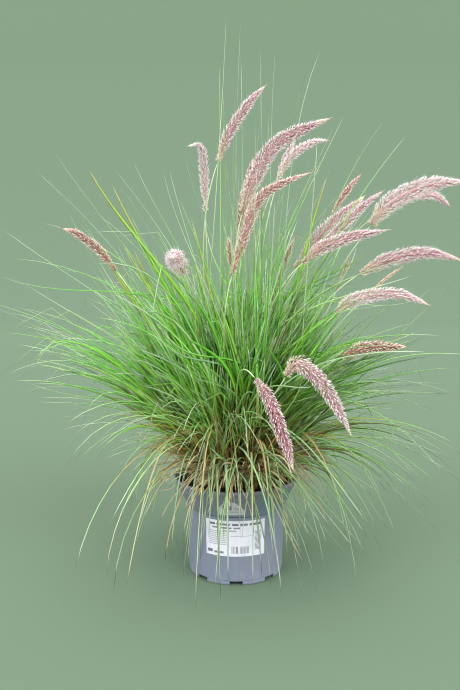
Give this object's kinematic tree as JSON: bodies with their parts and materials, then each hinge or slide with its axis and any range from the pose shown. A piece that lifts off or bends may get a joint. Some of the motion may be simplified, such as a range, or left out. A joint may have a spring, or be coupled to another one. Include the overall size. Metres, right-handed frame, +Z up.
{
  "type": "potted fountain grass clump",
  "caption": "Clump of fountain grass with arching narrow leaves and soft pink bottle-brush plumes, growing in a round plastic nursery pot with labels.",
  "frame": {"origin": "middle of the pot's foot, on the surface that it stands on", "axes": "+Z up along the pot's axis; the front, with the labels, faces -Y; +X is to the right seen from the front"},
  "size_m": [0.788, 0.72, 0.857],
  "materials": {
    "pot": "satin",
    "soil": "matt and crumbly",
    "label": "smooth",
    "leaf": "satin",
    "sheath": "matt",
    "plume_pink": "soft",
    "plume_pale": "soft",
    "plume_beige": "soft",
    "plume_red_brown": "soft",
    "plume_mauve": "soft",
    "plume_green": "soft"
  },
  "bodies": {
    "root": {"pot": "pot", "soil": "soil", "label": "label", "small_label": "label", "shoot_01": "leaf", "shoot_02": "leaf", "shoot_03": "leaf", "shoot_04": "leaf", "shoot_05": "leaf", "shoot_06": "leaf", "shoot_07": "leaf", "shoot_08": "leaf", "shoot_09": "leaf", "shoot_10": "leaf", "shoot_11": "leaf", "shoot_12": "leaf", "shoot_13": "leaf", "shoot_14": "leaf", "shoot_15": "leaf", "shoot_16": "leaf", "shoot_17": "leaf", "shoot_18": "leaf", "shoot_19": "leaf", "shoot_20": "leaf", "shoot_21": "leaf", "shoot_22": "leaf", "shoot_23": "leaf", "shoot_24": "leaf", "tuft_01": "sheath", "tuft_02": "sheath", "tuft_03": "sheath", "tuft_04": "sheath", "tuft_05": "sheath", "tuft_06": "sheath", "tuft_07": "sheath", "tuft_08": "sheath", "plume_01": "plume_pink", "plume_02": "plume_pink", "plume_03": "plume_pink", "plume_04": "plume_beige", "plume_05": "plume_pale", "plume_06": "plume_pink", "plume_07": "plume_red_brown", "plume_08": "plume_green", "plume_09": "plume_beige", "plume_10": "plume_pink", "plume_11": "plume_pink", "plume_12": "plume_pink", "plume_13": "plume_pale", "plume_14": "plume_pale", "plume_15": "plume_pink", "plume_16": "plume_green", "plume_17": "plume_pale", "plume_18": "plume_green", "plume_19": "plume_green", "plume_20": "plume_red_brown", "plume_21": "plume_pink", "plume_22": "plume_mauve", "plume_23": "plume_red_brown", "plume_24": "plume_pink"}
  },
  "joints": []
}
